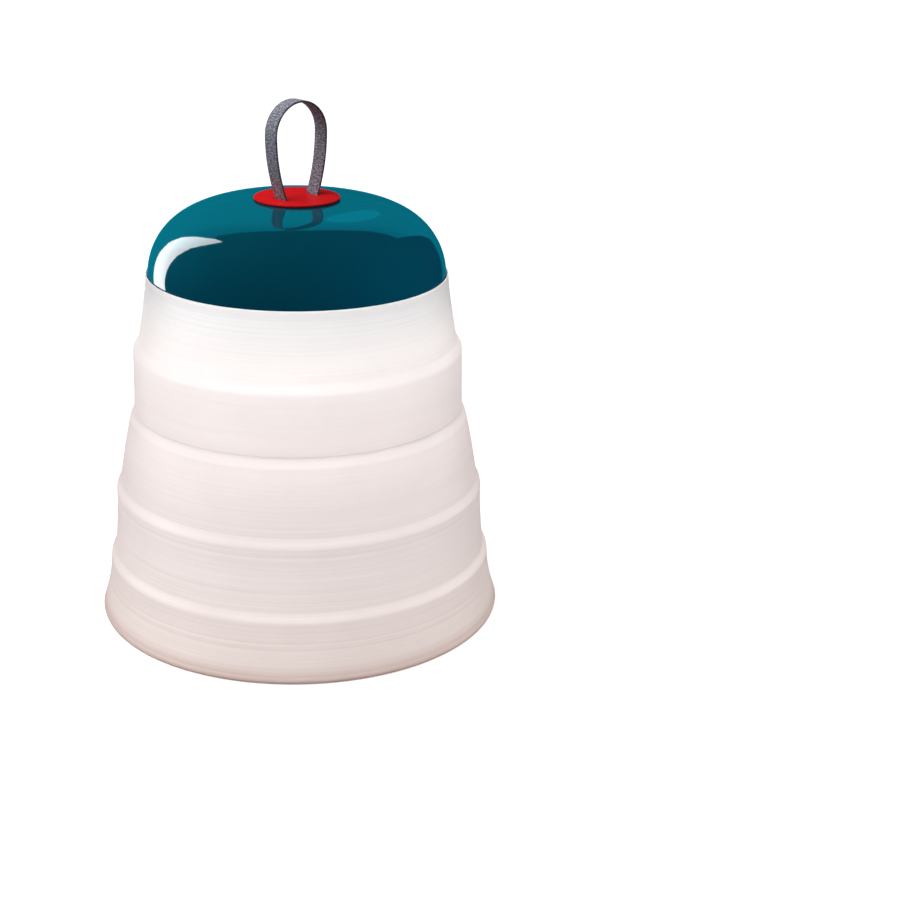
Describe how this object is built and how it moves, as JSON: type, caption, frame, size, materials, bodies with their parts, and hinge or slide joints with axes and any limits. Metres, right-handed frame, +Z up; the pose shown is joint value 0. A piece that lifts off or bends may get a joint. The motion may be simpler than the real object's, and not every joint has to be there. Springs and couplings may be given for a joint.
{
  "type": "camping lantern",
  "caption": "Collapsible camping lantern: a stepped translucent bellows diffuser under a domed light head with a round plate and a webbing strap loop.",
  "frame": {"origin": "centre of the ring that the lantern stands on, on the supporting surface", "axes": "+Z up through the dome; +X along the plane of the strap loop; the charging port and the button are on the +X +Y side"},
  "size_m": [0.27, 0.27, 0.3424],
  "materials": {
    "silicone": "satin",
    "teal_shell": "gloss",
    "red_plate": "satin",
    "webbing": "matte",
    "foam": "matte",
    "white_plastic": "satin",
    "opal_plastic": "satin",
    "phosphor": "satin",
    "aluminium_sheet": "satin",
    "board_white": "satin",
    "board_green": "satin",
    "chip_black": "matte",
    "can_metal": "satin",
    "cell_wrap": "satin",
    "nickel": "satin",
    "steel": "satin",
    "zinc_screw": "satin",
    "teal_trim": "satin",
    "teal_rubber": "matte",
    "red_button": "satin",
    "lead_black": "satin",
    "lead_white": "satin"
  },
  "bodies": {
    "base": {"diffuser_skirt": "silicone", "lower_fold": "silicone"},
    "fold_ring": {"diffuser_ring": "silicone", "upper_fold": "silicone"},
    "head": {"diffuser_rim": "silicone", "dome_cap": "teal_shell", "clamp_ring": "white_plastic", "clamp_screws": "zinc_screw", "chassis_plate": "white_plastic", "chassis_screws": "zinc_screw", "heat_spreader": "aluminium_sheet", "led_board": "board_white", "leds": "phosphor", "led_lens": "opal_plastic", "lens_ring": "white_plastic", "lens_screws": "zinc_screw", "battery_holder": "chip_black", "battery_cells": "cell_wrap", "cell_tabs": "nickel", "battery_cover": "chip_black", "battery_screws": "zinc_screw", "control_board": "board_green", "board_screws": "zinc_screw", "board_inductor": "chip_black", "board_capacitors": "can_metal", "board_chips": "chip_black", "board_sockets": "white_plastic", "port_bezel": "teal_trim", "cover_pin": "steel", "usb_socket": "steel", "usb_tongue": "chip_black", "port_board": "board_green", "port_screws": "zinc_screw", "button_bezel": "teal_trim", "button_spring": "steel", "tact_switch": "chip_black", "button_board": "board_green", "button_screws": "zinc_screw", "disc_gasket": "foam", "handle_disc": "red_plate", "anchor_plate": "steel", "disc_nuts": "zinc_screw", "strap_tails": "webbing", "strap_bars": "steel", "battery_lead": "lead_black", "led_lead": "lead_white", "port_lead": "lead_black", "button_lead": "lead_black"},
    "button": {"power_button": "red_button"},
    "cover": {"port_cover": "teal_rubber"},
    "strap": {"strap_loop": "webbing"}
  },
  "joints": [
    {"name": "collapse", "type": "slide", "parent": "fold_ring", "child": "head", "axis": [0, 0, -1], "range_m": [0, 0.11], "deforming": ["upper_fold"]},
    {"name": "lower_fold_slide", "type": "slide", "parent": "base", "child": "fold_ring", "axis": [0, 0, -1], "range_m": [0, 0.114], "deforming": ["lower_fold"]},
    {"name": "button_press", "type": "slide", "parent": "head", "child": "button", "axis": [-0.31, -0.6355, -0.7071], "range_m": [0, 0.001], "stiffness_N_per_m": 500, "springref_m": -0.002, "deforming": ["button_spring"]},
    {"name": "cover_hinge", "type": "hinge", "parent": "head", "child": "cover", "pos_m": [0.06385, 0.04639, 0.26949], "axis": [0.5878, -0.809, 0], "range_deg": [0, 110]},
    {"name": "strap_lean", "type": "hinge", "parent": "head", "child": "strap", "pos_m": [0, 0, 0.287], "axis": [1, 0, 0], "range_deg": [-60, 60]}
  ],
  "couplings": [
    {"joint": "lower_fold_slide", "follows": "collapse", "ratio": 1.0364}
  ]
}
